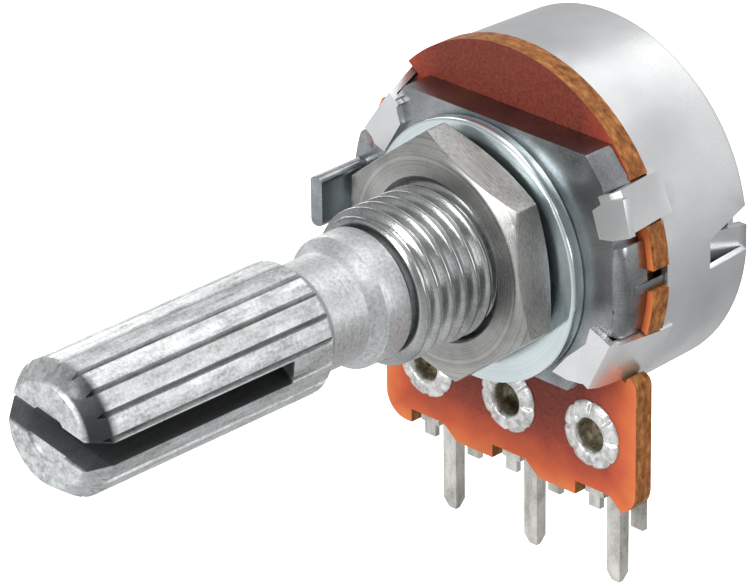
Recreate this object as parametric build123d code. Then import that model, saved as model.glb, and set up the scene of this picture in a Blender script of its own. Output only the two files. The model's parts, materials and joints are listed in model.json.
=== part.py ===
from build123d import *
import os
from math import cos, radians, sin, sqrt

# Rotary potentiometer with a split, knurled shaft and three circuit-board pins.
# Millimetres. +Z is up, the shaft points along -Y, and the pins point down.
# Origin: the shaft's axis, at the front face of the die-cast plate, where a panel seats.

# Shaft
SHAFT_TIP_Y = -25.3
SHAFT_R = 3.0
JOURNAL_R = 2.5
END_FACE_R = 2.3
END_CHAMFER = 0.95
KNURL_END_Y = -11.65
KNURL_TEETH = 18
KNURL_DEPTH = 0.28
KNURL_HALF_ANGLE = 4.6
NECK_R = 2.45
NECK_END_Y = -9.35
COLLAR_FRONT_Y = -8.75
COLLAR_R = 2.95
COLLAR_REAR_Y = -7.35
SLOT_WIDTH = 1.0
SLOT_DEPTH = 11.8
SLOT_TILT = 10.5
SLOT_RISE = 0.35
SLOT_LEAD_DROP = 0.4
SLOT_LEAD_LENGTH = 0.9
SAW_R = 6.0
DIMPLE_R = 1.2
DIMPLE_DEPTH = 0.15
GROOVE_R = 2.0
GROOVE_W = 0.55
SHAFT_REAR_Y = 5.3
TANG_FRONT_Y = 2.9
TANG_FLAT = 1.75

# Die-cast plate with its threaded bushing
PLATE_T = 1.6
PLATE_R = 8.15
PLATE_EDGE_R = 0.6
BUSHING_R = 3.5
THREAD_PITCH_R = 3.27
BUSHING_FRONT_Y = -7.05
BUSHING_CHAMFER = 0.3
RUNNING_GAP = 0.05
LUG_X = -7.25
LUG_T = 0.7
LUG_Z = 0.42
LUG_HEIGHT = 2.35
LUG_FRONT_Y = -2.87
PRONG_R = 8.2
PRONG_DEPTH = 0.55
PRONG_W = 0.46
PRONG_Z = -0.13
PRONG_LENGTH = 0.95
PRONG_SEAT_W = 1.8
PRONG_SEAT_H = 1.05

# Terminal board
BOARD_T = 1.0
BOARD_R = 8.5
BOARD_HOLE_R = 3.7
TONGUE_HALF = 7.55
TONGUE_TOP = -4.9
TONGUE_BOTTOM = -11.6
TONGUE_CORNER = 1.2
TONGUE_SHOULDER = 0.5
NOTCH_W = 2.0
NOTCH_H = 0.65
NOTCH_SLOPE = 0.8

# Terminals and eyelets
PIN_PITCH = 5.0
PIN_XS = (-PIN_PITCH, 0.0, PIN_PITCH)
SIDES = ("left", "middle", "right")
EYELET_Z = -8.3
EYELET_R = 1.05
EYELET_BORE_R = 0.72
FLARE_R = 1.62
FLARE_T = 0.25
SHEET_T = 0.3
PIN_W = 0.8
PIN_DEPTH = 0.6
PIN_TIP_Z = -16.2
PIN_CENTRE_BEHIND = 0.68
PIN_TAPER = 0.5
EYE_R = 1.6
EYE_NECK_W = 2.2
KNEE_RISE = 0.9
KNEE_DROP = 0.6
NUB_W = 1.1
NUB_H = 0.9
NUB_BACK = 0.15
STAND_W = 0.75
STAND_BEHIND = 1.52
STAND_TIP_Z = -14.1

# Rear can
CAN_R = 8.4
CAN_REAR_R = 8.25
CAN_T = 0.35
CAN_REAR_Y = 8.35
CAN_CORNER = 0.5
TAB_T = 0.35
SEAT_GAP = 0.1
LEAN_SHARE = 0.4

# Nut and washer on the bushing
NUT_AF = 10.0
NUT_REAR_Y = -1.0
NUT_T = 1.98
NUT_CORNER_ANGLE = 38.0
NUT_MOUTH_R = 3.75
WASHER_R = 6.02
WASHER_BORE_R = 3.9
WASHER_T = 0.7
WASHER_DROP = 0.38
THREAD_GAP = 0.03
FREE_GAP = 0.1

# Moving parts inside the can
ROTOR_R = 7.0
ROTOR_FRONT_Y = 3.7
ROTOR_T = 1.2
HUB_R = 3.4
STOP_INNER_R = 5.2
STOP_OUTER_R = 7.7
STOP_REAR_Y = 7.6
STOP_HALF_ANGLE = 16.5
STOP_TOP_Z = 0.45
STOP_BOTTOM_Z = -0.9
TRACK_OUTER_R = 6.6
TRACK_INNER_R = 5.2
RING_OUTER_R = 4.8
RING_INNER_R = 4.0
PAD_ANGLE = 33.0
PAD_SPAN = 8.0
PAD_OUTER_R = 7.95
FILM_T = 0.06
TRACK_GAP = 35.0
LEAD_W = 1.2
CLIP_R = 3.3
CLIP_T = 0.45
CLIP_MOUTH = 2.4
THRUST_R = 3.4
THRUST_T = 0.28
LAYER_GAP = 0.02
WIPER_T = 0.2
WIPER_ANGLES = (60.0, 120.0)
WIPER_RADII = (3.6, 6.6)
FINGER_ANGLES = (118.0, 140.0)
CONTACT_ANGLES = (138.0, 143.0)
FINGER_RADII = ((5.5, 5.8), (6.0, 6.3), (4.15, 4.35), (4.5, 4.7))

BOARD_FRONT_Y = PLATE_T
BOARD_REAR_Y = PLATE_T + BOARD_T
GROOVE_Y = PLATE_T + 0.3

# The plate's outline without its rounded ends, as X, Z corners
PLATE_CORNERS = (
    (6.2, 5.65), (6.05, 5.8), (-4.6, 5.8), (-6.5, 3.4), (-6.6, 2.0), (-7.2, -2.0), (-4.9, -5.6),
    (5.0, -5.6), (6.9, -3.2), (7.6, -1.5), (7.6, 3.2), (6.98, 4.7),
)
PLATE_ENDS = ((-16.5, 14.0), (161.5, 187.0))

# The can's lanced window at +X, as Y, Z corners, and the stop bent into it, as X, Y corners
STOP_WINDOW = ((5.4, 0.75), (9.0, 1.85), (9.0, -0.45), (5.4, -0.65))
STOP_TONGUE = ((7.95, 8.15), (7.5, 8.15), (6.95, 6.3), (7.3, 6.2))

# The can's four tabs: angle, width, radius of the fold, and the flat part's X, Z corners
TABS = (
    (25.0, 1.9, 8.95, ((8.5, 4.65), (7.6, 4.35), (6.75, 3.6), (7.15, 2.4), (7.9, 2.55), (8.9, 3.0))),
    (-27.0, 2.75, 8.03, (
        (7.55, -2.3), (6.66, -1.93), (6.38, -2.79), (5.27, -3.79), (4.45, -4.75), (5.3, -4.85),
        (6.2, -4.75), (6.9, -3.95),
    )),
    (144.0, 2.6, 7.4, (
        (-6.4, 3.15), (-6.15, 2.7), (-5.55, 2.5), (-4.55, 4.1), (-4.73, 4.6), (-4.85, 5.2), (-5.7, 4.7),
    )),
    (213.0, 2.8, 7.4, (
        (-5.2, -4.7), (-5.0, -4.2), (-5.85, -2.5), (-6.6, -2.6), (-6.7, -2.8), (-5.6, -4.5),
    )),
)


def tube(outer_r, inner_r, y_front, y_rear):
    """A ring about the shaft's axis, between two Y stations."""
    length = y_rear - y_front
    ring = Circle(outer_r) - Circle(inner_r)
    return Pos(0, y_rear, 0) * extrude(Plane.XZ * ring, amount=length)


def rod(radius, y_front, y_rear):
    """A round bar about the shaft's axis, between two Y stations."""
    return Pos(0, y_rear, 0) * extrude(Plane.XZ * Circle(radius), amount=y_rear - y_front)


def slab(face_xz, y_front, y_rear):
    """An outline drawn in X and Z, made solid between two Y stations."""
    return Pos(0, y_rear, 0) * extrude(Plane.XZ * face_xz, amount=y_rear - y_front)


def outline(points):
    """A flat face through the given X, Z points."""
    return make_face(Polyline(*points, close=True))


def turned(profile):
    """A solid turned about the shaft's axis from (radius, Y) points."""
    return revolve(make_face(Polyline(*profile, close=True)), Axis.Y)


def on_ray(angle, radial, tangential):
    """The X, Z point at a radial and a tangential distance along a ray."""
    a = radians(angle)
    return (radial * cos(a) - tangential * sin(a), radial * sin(a) + tangential * cos(a))


def sector(angle_from, angle_to, inner_r, outer_r):
    """A ring sector outline in X and Z, in degrees from +X towards +Z."""
    middle = (angle_from + angle_to) / 2
    inner = ThreePointArc(
        on_ray(angle_from, inner_r, 0), on_ray(middle, inner_r, 0), on_ray(angle_to, inner_r, 0)
    )
    outer = ThreePointArc(
        on_ray(angle_from, outer_r, 0), on_ray(middle, outer_r, 0), on_ray(angle_to, outer_r, 0)
    )
    sides = [Line(inner @ 0, outer @ 0), Line(inner @ 1, outer @ 1)]
    return make_face(Curve() + [inner, outer] + sides)


def tab_seat(angle, width, floor_r):
    """The clearance outline that lets one tab of the can pass."""
    top_r = CAN_R + SEAT_GAP
    half = width / 2 + SEAT_GAP
    corners = ((floor_r, -half), (top_r, -half), (top_r, half), (floor_r, half))
    return outline([on_ray(angle, r, t) for r, t in corners])


def knurl_groove():
    """One V groove of the knurl, a long wedge on the +Z side."""
    root_r = SHAFT_R - KNURL_DEPTH
    top_r = SHAFT_R + 0.3
    half = top_r * sin(radians(KNURL_HALF_ANGLE))
    wedge = outline([(0, root_r), (half, top_r), (-half, top_r)])
    return slab(wedge, SHAFT_TIP_Y - 1, KNURL_END_Y)


def shaft_blank():
    """The shaft before it is knurled and split."""
    profile = [
        (0, SHAFT_TIP_Y),
        (END_FACE_R, SHAFT_TIP_Y),
        (SHAFT_R, SHAFT_TIP_Y + END_CHAMFER),
        (SHAFT_R, KNURL_END_Y - 0.4),
        (NECK_R, KNURL_END_Y + 0.3),
        (NECK_R, NECK_END_Y),
        (COLLAR_R - 0.12, COLLAR_FRONT_Y - 0.1),
        (COLLAR_R, COLLAR_FRONT_Y + 0.05),
        (COLLAR_R, COLLAR_REAR_Y),
        (JOURNAL_R, COLLAR_REAR_Y),
        (JOURNAL_R, GROOVE_Y),
        (GROOVE_R, GROOVE_Y),
        (GROOVE_R, GROOVE_Y + GROOVE_W),
        (JOURNAL_R, GROOVE_Y + GROOVE_W),
        (JOURNAL_R, SHAFT_REAR_Y),
        (0, SHAFT_REAR_Y),
    ]
    return turned(profile)


def saw_cut():
    """The slot in the tip, with a lead-in sloped on its lower side."""
    saw_y = SHAFT_TIP_Y + SLOT_DEPTH - SAW_R
    length = saw_y - SHAFT_TIP_Y + 1
    cut = Pos(0, saw_y - length / 2, SLOT_RISE) * Box(4 * SHAFT_R, length, SLOT_WIDTH)
    cut += Pos(0, saw_y, SLOT_RISE) * Cylinder(SAW_R, SLOT_WIDTH)
    low_z = SLOT_RISE - SLOT_WIDTH / 2
    front_y = SHAFT_TIP_Y - 1
    lead = [
        (front_y, low_z - SLOT_LEAD_DROP),
        (SHAFT_TIP_Y, low_z - SLOT_LEAD_DROP),
        (SHAFT_TIP_Y + SLOT_LEAD_LENGTH, low_z),
        (SHAFT_TIP_Y + SLOT_LEAD_LENGTH, SLOT_RISE),
        (front_y, SLOT_RISE),
    ]
    cut += extrude(Plane.YZ * outline(lead), amount=2 * SHAFT_R, both=True)
    return Rot(0, SLOT_TILT, 0) * cut


def make_shaft():
    """The turned shaft: knurled, sawn in two at the tip, with a flatted tang at the rear."""
    body = shaft_blank()
    groove = knurl_groove()
    step = 360 / KNURL_TEETH
    for index in range(KNURL_TEETH):
        body -= Rot(0, SLOT_TILT + step * (index + 0.5), 0) * groove
    body -= saw_cut()
    body -= rod(DIMPLE_R, SHAFT_TIP_Y - 1, SHAFT_TIP_Y + DIMPLE_DEPTH)
    length = SHAFT_REAR_Y - TANG_FRONT_Y + 1
    for side in (-1, 1):
        flat_z = side * (TANG_FLAT + JOURNAL_R / 2)
        body -= Pos(0, TANG_FRONT_Y + length / 2, flat_z) * Box(3 * JOURNAL_R, length, JOURNAL_R)
    return body


def plate_outline():
    """The plate seen from the front: straight sides between two rounded ends."""
    face = outline(PLATE_CORNERS)
    for start, end in PLATE_ENDS:
        face += sector(start, end, BUSHING_R, PLATE_R)
    return face


def edge_rounding():
    """The solid that rounds the front edge of the plate's ends."""
    shoulder = PLATE_R - PLATE_EDGE_R
    reach = PLATE_R + 1
    core = turned([(0, 0), (shoulder, 0), (shoulder, PLATE_T), (0, PLATE_T)])
    body = rod(reach, PLATE_EDGE_R, PLATE_T) + core
    bead = Pos(shoulder, PLATE_EDGE_R) * Circle(PLATE_EDGE_R)
    top = outline(PLATE_CORNERS)
    return body + revolve(bead, Axis.Y) + slab(top, 0, PLATE_T)


def make_bushing_plate():
    """The die-cast plate, its bushing, its locating lug and its two prongs."""
    plate = slab(plate_outline(), 0, PLATE_T) & edge_rounding()
    nut_front_y = NUT_REAR_Y - NUT_T
    nose_y = BUSHING_FRONT_Y + BUSHING_CHAMFER
    plate += turned(
        [
            (0, BUSHING_FRONT_Y),
            (BUSHING_R - BUSHING_CHAMFER, BUSHING_FRONT_Y),
            (BUSHING_R, nose_y),
            (BUSHING_R, nut_front_y - FREE_GAP),
            (THREAD_PITCH_R, nut_front_y - FREE_GAP),
            (THREAD_PITCH_R, PLATE_T / 2),
            (0, PLATE_T / 2),
        ]
    )
    lug = RectangleRounded(LUG_T, LUG_HEIGHT, 0.4 * LUG_T)
    plate += slab(Pos(LUG_X, LUG_Z) * lug, LUG_FRONT_Y, PLATE_T / 2)
    for side in (-1, 1):
        prong = Pos(side * (PRONG_R - PRONG_DEPTH / 2), PRONG_Z) * Rectangle(PRONG_DEPTH, PRONG_W)
        plate += slab(prong, PLATE_T / 2, PLATE_T + PRONG_LENGTH)
    return plate - rod(JOURNAL_R + RUNNING_GAP, BUSHING_FRONT_Y - 1, PLATE_T + 1)


def make_washer():
    """The flat washer under the nut. It is loose, so its bore rests on the thread's top."""
    return Pos(0, 0, -WASHER_DROP) * tube(WASHER_R, WASHER_BORE_R, -WASHER_T, 0)


def make_nut():
    """The hexagonal nut, chamfered on both faces, with a countersunk bore."""
    front_y = NUT_REAR_Y - NUT_T
    rear_y = NUT_REAR_Y
    corner_r = NUT_AF / sqrt(3)
    hexagon = RegularPolygon(corner_r, 6, rotation=NUT_CORNER_ANGLE)
    nut = slab(hexagon, front_y, rear_y)
    face_r = 0.485 * NUT_AF
    slope = 0.45 * (corner_r + 0.2 - face_r)
    nut &= turned(
        [
            (0, front_y),
            (face_r, front_y),
            (corner_r + 0.2, front_y + slope),
            (corner_r + 0.2, rear_y - slope),
            (face_r, rear_y),
            (0, rear_y),
        ]
    )
    nut -= rod(THREAD_PITCH_R + THREAD_GAP, front_y - 1, rear_y + 1)
    mouth = [(0, front_y - 1), (NUT_MOUTH_R + 1, front_y - 1), (0, front_y + NUT_MOUTH_R)]
    return nut - turned(mouth)


def notch_outline(x):
    """The bottom notch at one terminal: a square left wall and a sloping right one."""
    left = x - NOTCH_W / 2
    right = x + NOTCH_W / 2
    top = TONGUE_BOTTOM + NOTCH_H
    low = TONGUE_BOTTOM - 1
    foot = right + NOTCH_SLOPE
    return outline([(left, low), (left, top), (right, top), (foot, TONGUE_BOTTOM), (foot, low)])


def tongue_outline():
    """The tongue that carries the terminals, with its rounded corners."""
    height = TONGUE_TOP - TONGUE_BOTTOM
    face = Pos(0, TONGUE_TOP - height / 2) * Rectangle(2 * TONGUE_HALF, height)
    face = fillet(face.vertices().group_by(Axis.Y)[0], TONGUE_CORNER)
    return fillet(face.vertices().group_by(Axis.Y)[-1], TONGUE_SHOULDER)


def board_outline():
    """The phenolic board: a disc with a square tongue, notches and seats for the tabs."""
    face = Circle(BOARD_R) + tongue_outline()
    rim_r = CAN_R - CAN_T
    for angle, tab_width, fold_r, flat in TABS:
        lean = min(0, fold_r - CAN_R + CAN_T / 2)
        face -= tab_seat(angle, tab_width, rim_r + LEAN_SHARE * lean - SEAT_GAP)
    for side in (-1, 1):
        seat = Rectangle(PRONG_SEAT_W, PRONG_SEAT_H)
        face -= Pos(side * BOARD_R, PRONG_Z + (PRONG_SEAT_H - PRONG_W) / 2 - SEAT_GAP / 2) * seat
    for x in PIN_XS:
        face -= notch_outline(x)
        face -= Pos(x, EYELET_Z) * Circle(EYELET_R)
    return face - Circle(BOARD_HOLE_R)


def make_board():
    """The terminal board."""
    return slab(board_outline(), BOARD_FRONT_Y, BOARD_REAR_Y)


def make_eyelet(x):
    """One tubular eyelet rivet: a flare in front, a barrel, and a collar behind the terminal."""
    rear_y = BOARD_REAR_Y + SHEET_T
    bore = EYELET_BORE_R
    barrel = EYELET_R - 0.02
    profile = [
        (bore, BOARD_FRONT_Y - 0.1),
        (bore + 0.2, BOARD_FRONT_Y - FLARE_T),
        (FLARE_R - 0.3, BOARD_FRONT_Y - FLARE_T),
        (FLARE_R, BOARD_FRONT_Y - 0.08),
        (FLARE_R, BOARD_FRONT_Y),
        (barrel, BOARD_FRONT_Y),
        (barrel, rear_y),
        (FLARE_R - 0.2, rear_y),
        (FLARE_R - 0.2, rear_y + 0.2),
        (bore, rear_y + 0.2),
    ]
    return Pos(x, 0, EYELET_Z) * turned(profile)


def leg_strip(path, width, thickness):
    """A bent strip of sheet: Y, Z points of its front side, thickened to the rear."""
    back = [(y + thickness, z) for y, z in reversed(path)]
    return extrude(Plane.YZ * outline(path + back), amount=width / 2, both=True)


def terminal_eye(knee_z):
    """The flat eye behind the board, with the hole for its eyelet."""
    neck = Pos(0, (EYELET_Z + knee_z) / 2) * Rectangle(EYE_NECK_W, EYELET_Z - knee_z)
    face = Pos(0, EYELET_Z) * Circle(EYE_R) + neck
    face -= Pos(0, EYELET_Z) * Circle(EYELET_R)
    return slab(face, BOARD_REAR_Y, BOARD_REAR_Y + SHEET_T)


def pin_leg(knee_z, web_y, channel_top):
    """The folded pin: its web, two flanges and a tapered tip."""
    taper_z = PIN_TIP_Z + PIN_TAPER
    rear_y = BOARD_REAR_Y
    leg = leg_strip(
        [(rear_y, knee_z + SHEET_T), (rear_y, knee_z), (web_y, channel_top), (web_y, taper_z)],
        PIN_W,
        SHEET_T,
    )
    channel_y = web_y + PIN_DEPTH / 2
    height = channel_top - taper_z
    for side in (-1, 1):
        flange_x = side * (PIN_W - SHEET_T) / 2
        leg += Pos(flange_x, channel_y, taper_z + height / 2) * Box(SHEET_T, PIN_DEPTH, height)
    full = Pos(0, channel_y, taper_z) * Rectangle(PIN_W, PIN_DEPTH)
    small = Pos(0, channel_y, PIN_TIP_Z) * Rectangle(0.55 * PIN_W, 0.45 * PIN_DEPTH)
    return leg + loft([full, small])


def standing_leg(web_y, bridge_z):
    """The short leg behind the pin and the bridge that joins them."""
    stand_y = web_y + STAND_BEHIND
    bridge_length = stand_y + SHEET_T - web_y
    bridge = Pos(0, web_y + bridge_length / 2, bridge_z) * Box(STAND_W, bridge_length, SHEET_T)
    height = bridge_z - STAND_TIP_Z
    return bridge + Pos(0, stand_y + SHEET_T / 2, bridge_z - height / 2) * Box(STAND_W, SHEET_T, height)


def front_nub(web_y):
    """The tab that comes forward through the board's notch and turns down."""
    front_y = BOARD_FRONT_Y + NUB_BACK
    top_z = TONGUE_BOTTOM + NOTCH_H - SEAT_GAP
    length = web_y + SHEET_T - front_y
    nub = Pos(0, front_y + length / 2, top_z - SHEET_T / 2) * Box(NUB_W, length, SHEET_T)
    return nub + Pos(0, front_y + SHEET_T / 2, top_z - NUB_H / 2) * Box(0.6 * NUB_W, SHEET_T, NUB_H)


def make_terminal(x):
    """One stamped terminal: eye, front nub, a folded pin and a short standing leg behind it."""
    web_y = BOARD_REAR_Y + PIN_CENTRE_BEHIND - PIN_DEPTH / 2
    knee_z = TONGUE_BOTTOM + KNEE_RISE
    channel_top = knee_z - KNEE_DROP
    part = terminal_eye(knee_z) + pin_leg(knee_z, web_y, channel_top)
    part += standing_leg(web_y, channel_top - SHEET_T) + front_nub(web_y)
    return Pos(x, 0, 0) * part


def can_solid(front_r, rear_r, y_front, y_rear, corner):
    """The can's body as a full, slightly tapered solid with a rounded rear corner."""
    face = make_face(
        Curve()
        + [
            Polyline((0, y_rear), (0, y_front), (front_r, y_front), (rear_r, y_rear - corner)),
            RadiusArc((rear_r, y_rear - corner), (rear_r - corner, y_rear), corner),
            Line((rear_r - corner, y_rear), (0, y_rear)),
        ]
    )
    return revolve(face, Axis.Y)


def stop_tongue():
    """The stop: a tongue of the can's wall that is bent inwards from the rear."""
    height = STOP_TOP_Z - STOP_BOTTOM_Z
    return Pos(0, 0, STOP_BOTTOM_Z) * extrude(outline(STOP_TONGUE), amount=height)


def tab_strip(angle, width, fold_r):
    """The side of one tab: forward past the board and plate to its fold."""
    rim = CAN_R - CAN_T / 2
    half = TAB_T / 2
    root_y = BOARD_REAR_Y + 2 * TAB_T
    path = [
        (rim + half, root_y),
        (rim + half, BOARD_REAR_Y - SEAT_GAP),
        (fold_r + half, half),
        (fold_r, -TAB_T),
        (fold_r - 2 * TAB_T, -TAB_T),
        (fold_r - 2 * TAB_T, 0),
        (fold_r - half, 0),
        (rim - half, BOARD_REAR_Y - SEAT_GAP),
        (rim - half, root_y),
    ]
    strip = extrude(outline(path), amount=width / 2, both=True)
    return Rot(0, -angle, 0) * strip


def terminal_relief():
    """The space at the can's lower front rim for the rear ends of the eyelets."""
    box = Box(2 * PIN_PITCH + 4.2, 1.4, 5)
    return Pos(0, BOARD_REAR_Y + 0.7, EYELET_Z - 0.6) * box


def make_can():
    """The drawn steel can with its lanced stop and its four folded tabs."""
    shell = can_solid(CAN_R, CAN_REAR_R, BOARD_REAR_Y, CAN_REAR_Y, CAN_CORNER)
    shell -= can_solid(
        CAN_R - CAN_T, CAN_REAR_R - CAN_T, BOARD_REAR_Y - 1, CAN_REAR_Y - CAN_T, CAN_CORNER - CAN_T
    )
    window = extrude(Plane.YZ * outline(STOP_WINDOW), amount=3)
    shell -= Pos(ROTOR_R, 0, 0) * window
    shell += stop_tongue()
    shell -= terminal_relief()
    for angle, width, fold_r, flat in TABS:
        shell += tab_strip(angle, width, fold_r) + slab(outline(flat), -TAB_T, 0)
    return shell


def make_retaining_ring():
    """The open ring in the shaft's groove, behind the plate."""
    front_y = GROOVE_Y + 1.5 * LAYER_GAP
    ring = tube(CLIP_R, GROOVE_R + LAYER_GAP, front_y, front_y + CLIP_T)
    mouth = Pos(0, front_y, CLIP_R) * Box(CLIP_MOUTH, 3 * CLIP_T, 1.6 * CLIP_MOUTH)
    return ring - mouth


def make_thrust_washer():
    """The thin washer between the retaining ring and the plate."""
    front_y = PLATE_T + LAYER_GAP
    return tube(THRUST_R, JOURNAL_R + RUNNING_GAP, front_y, front_y + THRUST_T)


def make_track():
    """The printed carbon horseshoe on the board's rear face, open at the bottom."""
    horseshoe = sector(TRACK_GAP - 90, 270 - TRACK_GAP, TRACK_INNER_R, TRACK_OUTER_R)
    return slab(horseshoe, BOARD_REAR_Y, BOARD_REAR_Y + FILM_T)


def make_collector():
    """The printed silver ring and its lead to the middle eyelet."""
    lead_top = -(RING_INNER_R + RING_OUTER_R) / 2
    lead_bottom = EYELET_Z + FLARE_R
    lead = Pos(0, (lead_top + lead_bottom) / 2) * Rectangle(LEAD_W, lead_top - lead_bottom)
    face = Circle(RING_OUTER_R) - Circle(RING_INNER_R) + lead
    return slab(face, BOARD_REAR_Y, BOARD_REAR_Y + FILM_T)


def make_pad(side):
    """The silver print that joins one end of the track to its eyelet."""
    start = -90 + side * PAD_ANGLE
    end = start - side * PAD_SPAN
    face = sector(min(start, end), max(start, end), TRACK_INNER_R + 0.1, PAD_OUTER_R)
    return slab(face, BOARD_REAR_Y, BOARD_REAR_Y + FILM_T)


def make_rotor():
    """The moulded rotor: a disc with a hub and one stop lobe, keyed to the shaft's tang."""
    rear = ROTOR_FRONT_Y + ROTOR_T
    body = rod(ROTOR_R, ROTOR_FRONT_Y, rear)
    body += rod(HUB_R, TANG_FRONT_Y + 0.2, SHAFT_REAR_Y - 0.3)
    lobe = sector(180 - STOP_HALF_ANGLE, 180 + STOP_HALF_ANGLE, STOP_INNER_R, STOP_OUTER_R)
    body += slab(lobe, ROTOR_FRONT_Y, STOP_REAR_Y)
    key = Circle(JOURNAL_R) & Rectangle(3 * JOURNAL_R, 2 * TANG_FLAT)
    return body - slab(key, 0, 2 * SHAFT_REAR_Y)


def make_wiper():
    """The sprung contact under the rotor, with fingers on the track and the ring."""
    root_y = ROTOR_FRONT_Y - WIPER_T
    touch_y = BOARD_REAR_Y + FILM_T + LAYER_GAP
    part = slab(sector(*WIPER_ANGLES, *WIPER_RADII), root_y, ROTOR_FRONT_Y)
    for radii in FINGER_RADII:
        part += slab(sector(*FINGER_ANGLES, *radii), root_y, ROTOR_FRONT_Y)
        part += slab(sector(*CONTACT_ANGLES, *radii), touch_y, ROTOR_FRONT_Y)
    return part


def build_parts():
    """Every sub-part by name."""
    parts = {
        "shaft": make_shaft(),
        "bushing_plate": make_bushing_plate(),
        "washer": make_washer(),
        "hex_nut": make_nut(),
        "terminal_board": make_board(),
        "rear_can": make_can(),
        "retaining_ring": make_retaining_ring(),
        "thrust_washer": make_thrust_washer(),
        "resistive_track": make_track(),
        "collector_ring": make_collector(),
        "silver_pad_left": make_pad(-1),
        "silver_pad_right": make_pad(1),
        "rotor": make_rotor(),
        "wiper": make_wiper(),
    }
    for name, x in zip(SIDES, PIN_XS):
        parts["eyelet_" + name] = make_eyelet(x)
        parts["terminal_" + name] = make_terminal(x)
    return parts


os.makedirs("parts", exist_ok=True)
for node, solid in sorted(build_parts().items()):
    export_step(solid, "parts/" + node + ".step")
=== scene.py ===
"""The looks of the rotary potentiometer: materials, thread, crimped eyelets, light and camera."""

import json
from math import cos, hypot, pi, radians, sin

import bmesh
import bpy
from mathutils import Matrix, Vector


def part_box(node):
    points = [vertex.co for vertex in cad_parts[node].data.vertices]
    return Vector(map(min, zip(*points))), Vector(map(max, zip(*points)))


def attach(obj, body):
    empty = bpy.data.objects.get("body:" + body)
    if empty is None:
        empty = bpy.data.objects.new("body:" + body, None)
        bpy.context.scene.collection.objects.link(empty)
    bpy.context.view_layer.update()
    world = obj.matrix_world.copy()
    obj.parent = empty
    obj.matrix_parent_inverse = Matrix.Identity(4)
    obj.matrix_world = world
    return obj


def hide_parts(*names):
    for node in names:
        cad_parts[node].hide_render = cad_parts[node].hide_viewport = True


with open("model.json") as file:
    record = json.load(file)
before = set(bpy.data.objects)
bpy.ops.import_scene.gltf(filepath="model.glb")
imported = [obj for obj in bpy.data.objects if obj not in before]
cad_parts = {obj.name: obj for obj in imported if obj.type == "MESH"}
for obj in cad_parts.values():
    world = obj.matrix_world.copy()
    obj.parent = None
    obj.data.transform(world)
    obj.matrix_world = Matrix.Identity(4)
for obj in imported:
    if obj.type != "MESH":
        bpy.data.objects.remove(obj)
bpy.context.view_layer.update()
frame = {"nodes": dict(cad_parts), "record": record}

MM = 0.001
IMAGE_WIDTH = 750

# Stations and radii in millimetres that the CAD pieces give
SHAFT_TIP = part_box("shaft")[0].y / MM
BUSHING_FRONT = SHAFT_TIP + 18.25
BORE_R = 2.55
WASHER_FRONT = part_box("washer")[0].y / MM
WASHER_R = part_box("washer")[1].x / MM
WASHER_Z = (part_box("washer")[0].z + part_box("washer")[1].z) / 2 / MM
BOARD_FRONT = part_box("terminal_board")[0].y / MM
CAN_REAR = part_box("rear_can")[1].y / MM
EYELET_Z = (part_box("eyelet_middle")[0].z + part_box("eyelet_middle")[1].z) / 2 / MM
TONGUE_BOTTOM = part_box("terminal_board")[0].z / MM

# The room in reflections: its bright side, and the level at each step from the dark side to it
BRIGHT_SIDE = Vector((0.35, 0.55, 0.75))
ROOM = ((0.05, 0.85), (0.30, 0.62), (0.52, 0.36), (0.75, 0.55), (1.0, 0.80))

# The knurled front of the shaft, and the board's outline
TIP_FACE_R = 2.3
KNURL_END = -11.65
BOARD_R = 8.5
TONGUE_HALF = 7.55
PIN_PITCH = 5.0

# The saw cut in the shaft's tip
SLOT_TILT = radians(10.5)
SLOT_RISE = 0.35
SLOT_HALF = 0.5
SLOT_EDGE = 0.04
SLOT_LEAD = 0.9
SLOT_LEAD_DROP = 0.4
SAW_R = 6.0
SAW_AT = SHAFT_TIP + 11.8 - SAW_R

# The M7 x 0.75 thread
CREST_R = 3.5
ROOT_R = 3.06
PITCH = 0.75
CREST_AT = -6.12


# ---------------------------------------------------------------- materials

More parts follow.
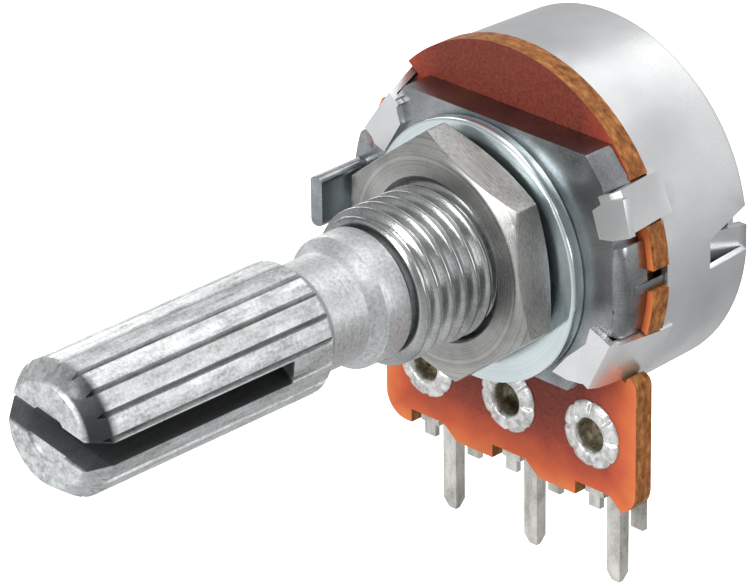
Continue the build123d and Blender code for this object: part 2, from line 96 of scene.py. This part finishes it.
class Paint:
    """A small helper that builds one material's node tree."""

    def __init__(self, name):
        self.material = bpy.data.materials.new(name)
        self.material.use_nodes = True
        self.tree = self.material.node_tree
        self.shader = self.tree.nodes["Principled BSDF"]
        self.place = self.node("ShaderNodeTexCoord").outputs["Object"]

    def node(self, kind, **values):
        made = self.tree.nodes.new(kind)
        for key, value in values.items():
            setattr(made, key, value)
        return made

    def link(self, source, target):
        self.tree.links.new(source, target)

    def stretch(self, scale, source=None):
        """Coordinates in millimetres, scaled along each axis."""
        mapping = self.node("ShaderNodeMapping")
        mapping.inputs["Scale"].default_value = [1000 * s for s in scale]
        self.link(source or self.place, mapping.inputs["Vector"])
        return mapping.outputs[0]

    def axes(self):
        """The place on the part as separate X, Y and Z sockets."""
        split = self.node("ShaderNodeSeparateXYZ")
        self.link(self.place, split.inputs[0])
        return [split.outputs[axis] for axis in "XYZ"]

    def square(self, value):
        return self.math("MULTIPLY", value, value)

    def length(self, a, b):
        """The length of the vector (a, b), such as the radius from two axes."""
        return self.math("SQRT", self.math("ADD", self.square(a), self.square(b)))

    def both(self, a, b):
        """The product of two masks."""
        return self.math("MULTIPLY", a, b)

    def turned(self, ring_scale, length_scale):
        """Coordinates that run round the shaft's axis, for lathe marks."""
        x, y, z = self.axes()
        join = self.node("ShaderNodeCombineXYZ")
        self.link(self.math("MULTIPLY", self.length(x, z), 1000 * ring_scale), join.inputs["X"])
        self.link(self.math("MULTIPLY", y, 1000 * length_scale), join.inputs["Y"])
        return join.outputs[0]

    def math(self, operation, a, b=None, c=None):
        made = self.node("ShaderNodeMath", operation=operation)
        for socket, value in zip(made.inputs, (a, b, c)):
            if value is None:
                continue
            if isinstance(value, (int, float)):
                socket.default_value = value
            else:
                self.link(value, socket)
        return made.outputs[0]

    def noise(self, where, scale, detail=4.0, roughness=0.6):
        made = self.node("ShaderNodeTexNoise")
        made.inputs["Scale"].default_value = scale
        made.inputs["Detail"].default_value = detail
        made.inputs["Roughness"].default_value = roughness
        self.link(where, made.inputs["Vector"])
        return made.outputs[0]

    def ramp(self, value, *stops):
        made = self.node("ShaderNodeValToRGB")
        elements = made.color_ramp.elements
        while len(elements) < len(stops):
            elements.new(0.5)
        for element, (position, color) in zip(elements, stops):
            element.position = position
            element.color = (*color, 1.0)
        self.link(value, made.inputs["Fac"])
        return made.outputs["Color"]

    def spread(self, value, low, high, to_low, to_high):
        made = self.node("ShaderNodeMapRange")
        for socket, number in zip(made.inputs[1:5], (low, high, to_low, to_high)):
            socket.default_value = number
        self.link(value, made.inputs["Value"])
        return made.outputs["Result"]

    def mix(self, share, a, b, blend="MIX"):
        made = self.node("ShaderNodeMix", data_type="RGBA", blend_type=blend)
        first, second = [socket for socket in made.inputs if socket.type == "RGBA"]
        for socket, value in ((made.inputs[0], share), (first, a), (second, b)):
            if isinstance(value, (int, float)):
                socket.default_value = value
            elif isinstance(value, tuple):
                socket.default_value = (*value, 1.0)
            else:
                self.link(value, socket)
        return [o for o in made.outputs if o.type == "RGBA"][0]

    def bump(self, height, strength, depth, after=None):
        made = self.node("ShaderNodeBump")
        made.inputs["Strength"].default_value = strength
        made.inputs["Distance"].default_value = depth * MM
        self.link(height, made.inputs["Height"])
        if after:
            self.link(after, made.inputs["Normal"])
        return made.outputs[0]

    def finish(self, color, roughness, normal=None, metallic=1.0):
        self.link(color, self.shader.inputs["Base Color"])
        self.link(roughness, self.shader.inputs["Roughness"])
        if normal:
            self.link(normal, self.shader.inputs["Normal"])
        self.shader.inputs["Metallic"].default_value = metallic
        return self.material


def satin_metal(name, light, dark, rough, grain=1.2, patch=0.25, relief=0.25, lathe=0.0,
                metallic=1.0):
    """A plated or cast metal: soft patches, fine grain, and lathe marks when asked."""
    paint = Paint(name)
    even = paint.stretch((1, 1, 1))
    fine = paint.noise(even, 9.0 * grain, 6.0, 0.7)
    broad = paint.noise(even, patch, 3.0, 0.55)
    tone = paint.math("MULTIPLY_ADD", broad, 0.7, paint.math("MULTIPLY", fine, 0.3))
    if lathe:
        rings = paint.noise(paint.turned(14.0, 14.0), 1.0, 2.0, 0.5)
        tone = paint.math("MULTIPLY_ADD", rings, 0.35, paint.math("MULTIPLY", tone, 0.65))
    color = paint.ramp(tone, (0.32, dark), (0.62, light))
    roughness = paint.spread(tone, 0.3, 0.7, rough[1], rough[0])
    normal = paint.bump(fine, relief, 0.02)
    if lathe:
        normal = paint.bump(rings, lathe, 0.03, normal)
    return paint.finish(color, roughness, normal, metallic)


def board_material():
    """Phenolic board: orange towards the outline, with painted shade darkening it to dark red
    inside, towards the plate; brown on its cut edges.
    """
    paint = Paint("phenolic")
    x, y, z = paint.axes()
    from_rim = paint.math("SUBTRACT", BOARD_R * MM, paint.length(x, z))
    from_side = paint.math("SUBTRACT", TONGUE_HALF * MM, paint.math("ABSOLUTE", x))
    from_foot = paint.math("SUBTRACT", z, TONGUE_BOTTOM * MM)
    shade_inward = paint.math("MAXIMUM", from_rim, paint.math("MINIMUM", from_side, from_foot))
    cloud = paint.noise(paint.stretch((1, 1, 1)), 0.55, 4.0, 0.6)
    # Painted shade: the face darkens inward from its orange outline to dark red towards the plate;
    # the board's own colour is the orange-red.
    depth = paint.math("MULTIPLY_ADD", cloud, 1.6, paint.math("MULTIPLY", shade_inward, 1000.0))
    share = paint.spread(depth, 0.6, 4.2, 0.0, 1.0)
    face = paint.ramp(
        share,
        (0.0, (0.78, 0.22, 0.065)), (0.30, (0.56, 0.095, 0.036)),
        (0.65, (0.26, 0.036, 0.024)), (1.0, (0.13, 0.020, 0.016)),
    )
    speck = paint.noise(paint.stretch((1, 1, 1)), 7.0, 5.0, 0.7)
    face = paint.mix(paint.spread(speck, 0.35, 0.75, 0.0, 0.25), face, (0.60, 0.18, 0.08))
    ply = paint.noise(paint.stretch((1.9, 3.2, 1.9)), 1.0, 5.0, 0.7)
    cut = paint.ramp(
        ply,
        (0.30, (0.09, 0.027, 0.010)), (0.52, (0.34, 0.125, 0.032)), (0.75, (0.60, 0.29, 0.09)),
    )
    geometry = paint.node("ShaderNodeNewGeometry")
    facing = paint.node("ShaderNodeSeparateXYZ")
    paint.link(geometry.outputs["True Normal"], facing.inputs[0])
    on_face = paint.spread(paint.math("ABSOLUTE", facing.outputs["Y"]), 0.6, 0.85, 0.0, 1.0)
    color = paint.mix(on_face, cut, face)
    roughness = paint.spread(speck, 0.3, 0.7, 0.38, 0.55)
    normal = paint.bump(ply, 0.35, 0.05, paint.bump(speck, 0.12, 0.02))
    paint.shader.inputs["Specular IOR Level"].default_value = 0.18
    return paint.finish(color, roughness, normal, 0.0)


def eyelet_material():
    """Tinned flare with a dull brass bore, told apart by the distance from the eyelet's axis."""
    paint = Paint("eyelet_metal")
    x, y, z = paint.axes()
    x = paint.math("PINGPONG", paint.math("ADD", x, 2 * PIN_PITCH * MM), PIN_PITCH / 2 * MM)
    x = paint.math("MINIMUM", x, paint.math("SUBTRACT", PIN_PITCH * MM, x))
    radius = paint.length(x, paint.math("SUBTRACT", z, EYELET_Z * MM))
    grain = paint.noise(paint.stretch((1, 1, 1)), 3.0, 5.0, 0.65)
    silver = paint.ramp(grain, (0.35, (0.42, 0.42, 0.40)), (0.62, (0.86, 0.87, 0.86)))
    brass = paint.ramp(grain, (0.35, (0.13, 0.10, 0.055)), (0.7, (0.48, 0.42, 0.28)))
    edge = paint.math("MULTIPLY_ADD", grain, 0.15 * MM, radius)
    color = paint.mix(paint.spread(edge, 0.80 * MM, 0.92 * MM, 0.0, 1.0), brass, silver)
    roughness = paint.spread(grain, 0.3, 0.7, 0.45, 0.22)
    return paint.finish(color, roughness, paint.bump(grain, 0.3, 0.05), 0.65)


def pin_material():
    """Hot-dipped tin: bright, softly wavy, a little duller in streaks down the leg."""
    paint = Paint("tinned_brass")
    wave = paint.noise(paint.stretch((1.2, 1.2, 0.5)), 1.0, 4.0, 0.6)
    fine = paint.noise(paint.stretch((1, 1, 1)), 8.0, 5.0, 0.7)
    tone = paint.math("MULTIPLY_ADD", wave, 0.7, paint.math("MULTIPLY", fine, 0.3))
    color = paint.ramp(tone, (0.32, (0.26, 0.25, 0.22)), (0.60, (0.76, 0.75, 0.70)))
    roughness = paint.spread(tone, 0.3, 0.7, 0.42, 0.20)
    normal = paint.bump(wave, 0.5, 0.10, paint.bump(fine, 0.2, 0.02))
    return paint.finish(color, roughness, normal, 0.6)


def slot_painted_shade(paint, x, y, z):
    """Where the walls of the saw cut are, without the saw's floor: painted shade, evenly dark along
    the cut.
    """
    tilted = paint.math("ADD", paint.math("MULTIPLY", z, cos(SLOT_TILT)),
                        paint.math("MULTIPLY", x, sin(SLOT_TILT)))
    across = paint.math("SUBTRACT", tilted, SLOT_RISE * MM)
    reach = (SLOT_HALF + SLOT_EDGE) * MM
    lead = paint.spread(y, SHAFT_TIP * MM, (SHAFT_TIP + SLOT_LEAD) * MM, SLOT_LEAD_DROP * MM, 0.0)
    below = paint.math("ADD", paint.math("ADD", across, reach), lead)
    above = paint.math("SUBTRACT", reach, across)
    inside = paint.spread(paint.math("MINIMUM", below, above), 0.0, SLOT_EDGE * MM, 0.0, 1.0)
    past_saw = paint.math("MAXIMUM", paint.math("SUBTRACT", y, SAW_AT * MM), 0.0)
    from_tip = paint.math("SUBTRACT", y, (SHAFT_TIP + 0.04) * MM)
    from_floor = paint.math("SUBTRACT", (SAW_R - 0.02) * MM, paint.length(x, past_saw))
    ends = paint.math("MINIMUM", from_tip, from_floor)
    return paint.both(inside, paint.spread(ends, 0.0, 0.1 * MM, 0.0, 1.0))


def cone_grime(paint, x, y, z, speck):
    """Dirt on the tip's chamfer where the knurl runs out, as far as the photo shows it."""
    rise = paint.math("SUBTRACT", paint.length(x, z), TIP_FACE_R * MM)
    starts = paint.spread(y, (SHAFT_TIP + 0.05) * MM, (SHAFT_TIP + 0.2) * MM, 0.0, 1.0)
    stops = paint.spread(y, (SHAFT_TIP + 0.9) * MM, (SHAFT_TIP + 1.3) * MM, 1.0, 0.0)
    on_tip = paint.both(starts, stops)
    on_tip = paint.both(on_tip, paint.spread(rise, -0.05 * MM, 0.05 * MM, 0.0, 1.0))
    ragged_x = paint.math("MULTIPLY_ADD", speck, 2.4 * MM, x)
    ragged_z = paint.math("MULTIPLY_ADD", speck, 1.2 * MM, z)
    sideways = paint.spread(ragged_x, 0.9 * MM, 2.9 * MM, 0.12, 1.0)
    upwards = paint.spread(ragged_z, 0.2 * MM, 0.9 * MM, 0.25, 1.0)
    return paint.both(paint.both(on_tip, sideways), upwards)


def knurl_groove_shade(paint, x, y, z, on_knurl):
    """Painted shade low in the knurl's grooves, all round."""
    low = paint.spread(paint.length(x, z), 2.78 * MM, 2.97 * MM, 0.38, 0.0)
    behind_tip = paint.spread(y, (SHAFT_TIP + 1.0) * MM, (SHAFT_TIP + 1.3) * MM, 0.0, 1.0)
    return paint.both(paint.both(low, behind_tip), on_knurl)


def shaft_material():
    """Aluminium with a fine grain, streaks along the knurl, rings on the neck, dirt on the tip's
    chamfer, and painted shade in the knurl's grooves and on the walls of the saw cut.
    """
    paint = Paint("shaft_metal")
    even = paint.stretch((1, 1, 1))
    fine = paint.noise(even, 6.0, 7.0, 0.75)
    streak = paint.noise(paint.stretch((2.6, 0.5, 2.6)), 1.0, 6.0, 0.7)
    rings = paint.noise(paint.turned(10.0, 12.0), 1.0, 2.0, 0.5)
    x, y, z = paint.axes()
    on_neck = paint.spread(y, (KNURL_END - 0.05) * MM, (KNURL_END + 0.15) * MM, 0.0, 1.0)
    on_knurl = paint.math("SUBTRACT", 1.0, on_neck)
    around = paint.both(paint.math("MULTIPLY_ADD", rings, 0.22, 0.38), on_neck)
    marks = paint.math("ADD", paint.both(streak, on_knurl), around)
    tone = paint.math("MULTIPLY_ADD", fine, 0.45, paint.math("MULTIPLY", marks, 0.55))
    color = paint.ramp(
        tone, (0.36, (0.26, 0.27, 0.27)), (0.49, (0.58, 0.60, 0.60)), (0.62, (0.84, 0.86, 0.86))
    )
    # Painted shade: darker low in the knurl's grooves.
    color = paint.mix(knurl_groove_shade(paint, x, y, z, on_knurl), color, (0.16, 0.165, 0.17))
    dirt = cone_grime(paint, x, y, z, paint.noise(even, 1.6, 4.0, 0.7))
    color = paint.mix(paint.math("MULTIPLY", dirt, 0.95), color, (0.03, 0.032, 0.034))
    cut = slot_painted_shade(paint, x, y, z)
    # Painted shade on the walls of the saw cut, evenly dark along it.
    color = paint.mix(paint.math("MULTIPLY", cut, 0.85), color, (0.06, 0.063, 0.068))
    roughness = paint.spread(tone, 0.3, 0.7, 0.50, 0.28)
    normal = paint.bump(fine, 0.35, 0.04, paint.bump(marks, 0.2, 0.04))
    return paint.finish(color, roughness, normal, 0.8)


def can_material():
    """Tinned sheet: pale and soft, with painted shade in a band round the drawn rear corner."""
    paint = Paint("tinned_steel")
    even = paint.stretch((1, 1, 1))
    fine = paint.noise(even, 14.0, 6.0, 0.7)
    broad = paint.noise(even, 0.16, 3.0, 0.55)
    tone = paint.math("MULTIPLY_ADD", broad, 0.75, paint.math("MULTIPLY", fine, 0.25))
    color = paint.ramp(tone, (0.34, (0.62, 0.63, 0.64)), (0.60, (0.86, 0.87, 0.87)))
    x, y, z = paint.axes()
    # Painted shade: a dark band round the rear corner of the can's wall.
    wavy = paint.math("MULTIPLY_ADD", broad, 0.3 * MM, y)
    rear_corner_shade = paint.spread(wavy, (CAN_REAR - 0.5) * MM, CAN_REAR * MM, 0.0, 0.75)
    near_wall = paint.spread(paint.length(x, z), 7.6 * MM, 8.0 * MM, 0.0, 1.0)
    color = paint.mix(paint.both(rear_corner_shade, near_wall), color, (0.22, 0.23, 0.24))
    roughness = paint.spread(tone, 0.3, 0.7, 0.36, 0.22)
    return paint.finish(color, roughness, paint.bump(fine, 0.2, 0.02), 0.88)


def plain_plastic(name, color, dark):
    """The moulded rotor and printed carbon, out of sight inside the can."""
    paint = Paint(name)
    grain = paint.noise(paint.stretch((1, 1, 1)), 4.0, 4.0, 0.6)
    tint = paint.ramp(grain, (0.3, dark), (0.7, color))
    roughness = paint.spread(grain, 0.3, 0.7, 0.6, 0.4)
    return paint.finish(tint, roughness, paint.bump(grain, 0.15, 0.03), 0.0)


# Each metal: light and dark colour, roughness range, then the other arguments of satin_metal
METALS = {
    "cast_zinc": ((0.44, 0.46, 0.47), (0.11, 0.115, 0.12), (0.16, 0.30), 1.0, 0.30, 0.35),
    "bushing_metal": ((0.52, 0.53, 0.53), (0.15, 0.157, 0.16), (0.14, 0.28), 1.0, 0.4, 0.3),
    "zinc_plate": (
        (0.80, 0.90, 0.92), (0.62, 0.70, 0.72), (0.14, 0.24), 1.0, 0.2, 0.12, 0.1, 0.95,
    ),
    "nut_metal": (
        (0.54, 0.54, 0.52), (0.14, 0.14, 0.136), (0.22, 0.36), 1.2, 0.3, 0.2, 0.35, 0.95,
    ),
    "spring_steel": ((0.6, 0.6, 0.6), (0.35, 0.35, 0.35), (0.25, 0.4)),
    "silver_film": ((0.82, 0.82, 0.8), (0.6, 0.6, 0.58), (0.4, 0.55)),
    "contact_bronze": ((0.72, 0.50, 0.28), (0.42, 0.27, 0.14), (0.25, 0.4)),
}
PLASTICS = {
    "carbon_film": ((0.05, 0.05, 0.055), (0.015, 0.015, 0.016)),
    "rotor_plastic": ((0.10, 0.10, 0.11), (0.04, 0.04, 0.045)),
}
MATERIALS = {
    "shaft_metal": shaft_material(),
    "phenolic": board_material(),
    "tinned_steel": can_material(),
    "eyelet_metal": eyelet_material(),
    "tinned_brass": pin_material(),
}
MATERIALS.update({name: satin_metal(name, *values) for name, values in METALS.items()})
MATERIALS.update({name: plain_plastic(name, *values) for name, values in PLASTICS.items()})


# ---------------------------------------------------------------- pieces

def put(name, mesh, node, slot, material=None):
    """Adds a mesh as the shown piece of a CAD node, riding on that node's body."""
    piece = bpy.data.objects.new(name, mesh)
    bpy.context.scene.collection.objects.link(piece)
    mesh.materials.clear()
    mesh.materials.append(MATERIALS[material or slot])
    bodies = frame["record"]["behaviour"]["bodies"]
    body = next(name for name, members in bodies.items() if node in members)
    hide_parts(node)
    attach(piece, body)
    return piece


def clean_copy(node):
    """A welded copy of a CAD node's mesh with its flat faces whole again."""
    bm = bmesh.new()
    bm.from_mesh(frame["nodes"][node].data)
    bmesh.ops.remove_doubles(bm, verts=bm.verts, dist=2e-6)
    bmesh.ops.dissolve_degenerate(bm, edges=bm.edges, dist=2e-6)
    bmesh.ops.dissolve_limit(bm, angle_limit=radians(0.8), verts=bm.verts, edges=bm.edges)
    return bm


def bevelled(bm, name, width, segments=3, sharp=28):
    """Turns a bmesh into a mesh with rounded edges and smooth, face-weighted shading."""
    mesh = bpy.data.meshes.new(name)
    bm.to_mesh(mesh)
    bm.free()
    mesh.shade_smooth()
    holder = bpy.data.objects.new(name, mesh)
    bpy.context.scene.collection.objects.link(holder)
    rounding = holder.modifiers.new("rounding", "BEVEL")
    rounding.width = width * MM
    rounding.segments = segments
    rounding.limit_method = "ANGLE"
    rounding.angle_limit = radians(sharp)
    rounding.harden_normals = False
    rounding.use_clamp_overlap = True
    weighting = holder.modifiers.new("weighting", "WEIGHTED_NORMAL")
    weighting.keep_sharp = False
    weighting.weight = 80
    depsgraph = bpy.context.evaluated_depsgraph_get()
    result = bpy.data.meshes.new_from_object(holder.evaluated_get(depsgraph))
    bpy.data.objects.remove(holder)
    bpy.data.meshes.remove(mesh)
    return result


def rounded_piece(node, slot, width, segments=3, sharp=28):
    """A CAD node shown with rounded edges."""
    mesh = bevelled(clean_copy(node), node + "_look", width, segments, sharp)
    return put(node + "_look", mesh, node, slot)


def lathe(name, profile, steps, centre=(0.0, 0.0), shape=None):
    """A ring mesh about the Y direction from a closed (radius, Y) profile in millimetres."""
    bm = bmesh.new()
    rings = []
    for step in range(steps):
        angle = 2 * pi * step / steps
        ring = []
        for radius, y in profile:
            if shape:
                radius, y = shape(radius, y, angle)
            point = (centre[0] + radius * cos(angle), y, centre[1] + radius * sin(angle))
            ring.append(bm.verts.new(Vector(point) * MM))
        rings.append(ring)
    count = len(profile)
    for step in range(steps):
        here, there = rings[step], rings[(step + 1) % steps]
        for i in range(count):
            j = (i + 1) % count
            bm.faces.new((here[i], here[j], there[j], there[i]))
    bmesh.ops.recalc_face_normals(bm, faces=bm.faces)
    mesh = bpy.data.meshes.new(name)
    bm.to_mesh(mesh)
    bm.free()
    mesh.shade_smooth()
    return mesh


def thread_radius(y, angle):
    """The thread's radius at a station and angle, with a cone at the bushing's nose."""
    phase = ((y - CREST_AT) / PITCH + angle / (2 * pi)) % 1.0
    rise = 2 * abs(phase - 0.5)
    flank = min(1.0, max(0.0, (rise - 0.12) / 0.76))
    soft = flank * flank * (3 - 2 * flank)
    radius = ROOT_R + (CREST_R - ROOT_R) * (0.5 * soft + 0.5 * flank)
    return min(radius, 3.16 + 0.9 * (y - BUSHING_FRONT))


def make_thread():
    """The threaded outside of the bushing, its end face and the start of its bore."""
    steps, per_pitch = 160, 14
    rows = int(-BUSHING_FRONT / PITCH * per_pitch)
    bm = bmesh.new()
    rings = []
    turns = [2 * pi * step / steps for step in range(steps)]
    mouth = (
        (BORE_R, 0.6), (BORE_R, 0.09), (BORE_R + 0.03, 0.03), (BORE_R + 0.1, 0.0), (3.08, 0.0),
    )
    for radius, y in mouth:
        rings.append([(radius, BUSHING_FRONT + y, angle) for angle in turns])
    for row in range(rows + 1):
        y = BUSHING_FRONT + 0.02 + (-BUSHING_FRONT - 0.04) * row / rows
        rings.append([(thread_radius(y, angle), y, angle) for angle in turns])
    made = [
        [bm.verts.new(Vector((r * cos(a), y, r * sin(a))) * MM) for r, y, a in ring]
        for ring in rings
    ]
    for here, there in zip(made, made[1:]):
        for s in range(steps):
            t = (s + 1) % steps
            bm.faces.new((here[s], here[t], there[t], there[s]))
    bmesh.ops.recalc_face_normals(bm, faces=bm.faces)
    mesh = bpy.data.meshes.new("bushing_thread")
    bm.to_mesh(mesh)
    bm.free()
    mesh.shade_smooth()
    return put("bushing_thread", mesh, "bushing_plate", "cast_zinc", "bushing_metal")


def make_plate():
    """The die-cast plate with its lug, without the plain cylinder that stands for the thread."""
    bm = clean_copy("bushing_plate")
    gone = []
    for face in bm.faces:
        middle = face.calc_center_bounds()
        radii = [hypot(v.co.x, v.co.z) for v in face.verts]
        if middle.y < -0.02 * MM and 2.56 * MM < max(radii) < 3.6 * MM:
            gone.append(face)
    bmesh.ops.delete(bm, geom=gone, context="FACES")
    return put("plate_look", bevelled(bm, "plate_look", 0.12, 3, 30), "bushing_plate", "cast_zinc")


def make_washer():
    """The flat washer with rolled edges."""
    inner, outer, front, rear = 3.9, WASHER_R, WASHER_FRONT, 0.0
    soft = 0.09
    profile = [
        (inner, rear - soft), (inner, front + soft), (inner + 0.3 * soft, front + 0.3 * soft),
        (inner + soft, front), (outer - 1.6 * soft, front),
        (outer - 0.5 * soft, front + 0.3 * soft),
        (outer, front + 1.4 * soft), (outer, rear - soft), (outer - 0.3 * soft, rear - 0.3 * soft),
        (outer - soft, rear), (inner + soft, rear), (inner + 0.3 * soft, rear - 0.3 * soft),
    ]
    mesh = lathe("washer_look", profile, 128, (0.0, WASHER_Z))
    return put("washer_look", mesh, "washer", "zinc_plate")


def petal(radius, y, angle):
    """Bends the front of an eyelet's flare into eight crimped petals."""
    reach = max(0.0, min(1.0, (radius - 0.85) / 0.5))
    fold = max(0.0, cos(8 * angle)) ** 6
    if y < BOARD_FRONT + 0.01:
        y = y + (BOARD_FRONT - 0.015 - y) * 0.75 * fold * reach
        radius = radius * (1 - 0.05 * fold * reach)
    return radius, y


def make_eyelet(side):
    """One eyelet: a star-crimped flare in front, a barrel and a rolled collar at the rear."""
    node = "eyelet_" + side
    low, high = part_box(node)
    x = (low.x + high.x) / 2 / MM
    rear = high.y / MM
    front = low.y / MM
    profile = [
        (0.72, rear - 0.05), (0.72, BOARD_FRONT + 0.25), (0.76, BOARD_FRONT - 0.02),
        (0.84, front + 0.04),
        (0.94, front + 0.005), (1.08, front + 0.02), (1.24, front + 0.045), (1.40, front + 0.09),
        (1.52, front + 0.14), (1.60, front + 0.20), (1.61, BOARD_FRONT - 0.01), (1.03, BOARD_FRONT),
        (1.03, rear - 0.2), (1.36, rear - 0.2), (1.42, rear - 0.12), (1.38, rear - 0.03),
        (1.25, rear), (0.85, rear), (0.76, rear - 0.01),
    ]
    mesh = lathe(node + "_look", profile, 128, (x, EYELET_Z), petal)
    return put(node + "_look", mesh, node, "eyelet_metal")


rounded_piece("shaft", "shaft_metal", 0.045, 2, 16)
make_plate()
make_thread()
make_washer()
rounded_piece("hex_nut", "nut_metal", 0.07, 3, 20)
rounded_piece("terminal_board", "phenolic", 0.06, 2, 40)
rounded_piece("rear_can", "tinned_steel", 0.10, 3, 32)
for side in ("left", "middle", "right"):
    make_eyelet(side)
    rounded_piece("terminal_" + side, "tinned_brass", 0.10, 3, 30)

HIDDEN = {
    "retaining_ring": "spring_steel", "thrust_washer": "spring_steel",
    "resistive_track": "carbon_film", "collector_ring": "silver_film",
    "silver_pad_left": "silver_film", "silver_pad_right": "silver_film",
    "rotor": "rotor_plastic", "wiper": "contact_bronze",
}
for node, slot in HIDDEN.items():
    frame["nodes"][node].data.materials.clear()
    frame["nodes"][node].data.materials.append(MATERIALS[slot])


# ---------------------------------------------------------------- camera, light and floor

def make_camera():
    """A long lens from the front, right of the shaft and above it."""
    azimuth = radians(45.16)
    elevation = radians(25.92)
    roll = radians(-0.85)
    distance = 248.14 * MM
    focal_pixels = 5616.4
    target = Vector((-6.601, 0, -4.855)) * MM
    back = Vector((sin(azimuth) * cos(elevation), -cos(azimuth) * cos(elevation), sin(elevation)))
    level_right = Vector((cos(azimuth), sin(azimuth), 0))
    level_up = back.cross(level_right)
    right = cos(roll) * level_right + sin(roll) * level_up
    up = -sin(roll) * level_right + cos(roll) * level_up
    data = bpy.data.cameras.new("camera")
    data.sensor_width = 36.0
    data.lens = focal_pixels * data.sensor_width / IMAGE_WIDTH
    data.clip_start = 0.01
    data.clip_end = 10.0
    camera = bpy.data.objects.new("camera", data)
    axes = Matrix((right, up, back)).transposed().to_4x4()
    camera.matrix_world = Matrix.Translation(target + back * distance) @ axes
    bpy.context.scene.collection.objects.link(camera)
    bpy.context.scene.camera = camera


def area_light(name, place, aim, size, power):
    """One rectangular soft box, in millimetres and watts."""
    data = bpy.data.lights.new(name, "AREA")
    data.shape = "RECTANGLE"
    data.size, data.size_y = size[0] * MM, size[1] * MM
    data.energy = power
    lamp = bpy.data.objects.new(name, data)
    direction = (Vector(aim) - Vector(place)).normalized()
    turn = direction.to_track_quat("-Z", "Y").to_matrix().to_4x4()
    lamp.matrix_world = Matrix.Translation(Vector(place) * MM) @ turn
    bpy.context.scene.collection.objects.link(lamp)
    return lamp


def make_lights():
    """A key box above in front, a fill above behind, a low front one, and one at each side."""
    centre = (0, 0, 0)
    area_light("key_box", (20, -170, 120), centre, (110, 110), 0.20)
    area_light("top_box", (10, 70, 150), centre, (110, 110), 0.045)
    area_light("front_box", (-30, -190, 30), centre, (60, 90), 0.10)
    area_light("left_box", (-150, 60, 50), centre, (70, 110), 0.06)
    area_light("right_box", (170, 40, 60), centre, (80, 120), 0.085)


def make_world():
    """White to the camera. In reflections, a room whose level follows ROOM to its bright side."""
    world = bpy.data.worlds.new("studio")
    world.use_nodes = True
    bpy.context.scene.world = world
    nodes, links = world.node_tree.nodes, world.node_tree.links
    nodes.clear()
    out = nodes.new("ShaderNodeOutputWorld")
    path = nodes.new("ShaderNodeLightPath")
    white = nodes.new("ShaderNodeBackground")
    white.inputs["Color"].default_value = (1, 1, 1, 1)
    soft = nodes.new("ShaderNodeBackground")
    where = nodes.new("ShaderNodeTexCoord")
    along = nodes.new("ShaderNodeVectorMath")
    along.operation = "DOT_PRODUCT"
    along.inputs[1].default_value = BRIGHT_SIDE.normalized()
    lift = nodes.new("ShaderNodeMath")
    lift.operation = "MULTIPLY_ADD"
    lift.inputs[1].default_value = 0.5
    lift.inputs[2].default_value = 0.5
    ramp = nodes.new("ShaderNodeValToRGB")
    links.new(where.outputs["Generated"], along.inputs[0])
    links.new(along.outputs["Value"], lift.inputs[0])
    links.new(lift.outputs[0], ramp.inputs["Fac"])
    links.new(ramp.outputs["Color"], soft.inputs["Color"])
    stops = ramp.color_ramp.elements
    while len(stops) < len(ROOM):
        stops.new(0.5)
    for stop, (position, level) in zip(stops, ROOM):
        stop.position = position
        stop.color = (level, level, 1.01 * level, 1)
    mix = nodes.new("ShaderNodeMixShader")
    links.new(path.outputs["Is Camera Ray"], mix.inputs["Fac"])
    links.new(soft.outputs[0], mix.inputs[1])
    links.new(white.outputs[0], mix.inputs[2])
    links.new(mix.outputs[0], out.inputs["Surface"])


def make_floor():
    """A plain white floor below the pins; reflections and bounces see the room through it."""
    mesh = bpy.data.meshes.new("floor")
    half, z = 2.0, -30 * MM
    corners = [(-half, -half, z), (half, -half, z), (half, half, z), (-half, half, z)]
    mesh.from_pydata(corners, [], [(0, 1, 2, 3)])
    floor = bpy.data.objects.new("floor", mesh)
    bpy.context.scene.collection.objects.link(floor)
    material = bpy.data.materials.new("floor")
    material.use_nodes = True
    nodes, links = material.node_tree.nodes, material.node_tree.links
    shader = nodes["Principled BSDF"]
    shader.inputs["Base Color"].default_value = (0.9, 0.9, 0.9, 1)
    shader.inputs["Roughness"].default_value = 0.9
    shader.inputs["Emission Color"].default_value = (1, 1, 1, 1)
    shader.inputs["Emission Strength"].default_value = 0.75
    clear = nodes.new("ShaderNodeBsdfTransparent")
    path = nodes.new("ShaderNodeLightPath")
    mix = nodes.new("ShaderNodeMixShader")
    links.new(path.outputs["Is Camera Ray"], mix.inputs["Fac"])
    links.new(clear.outputs[0], mix.inputs[1])
    links.new(shader.outputs[0], mix.inputs[2])
    links.new(mix.outputs[0], nodes["Material Output"].inputs["Surface"])
    mesh.materials.append(material)


make_camera()
make_lights()
make_world()
make_floor()
bpy.context.scene.view_settings.view_transform = "Standard"
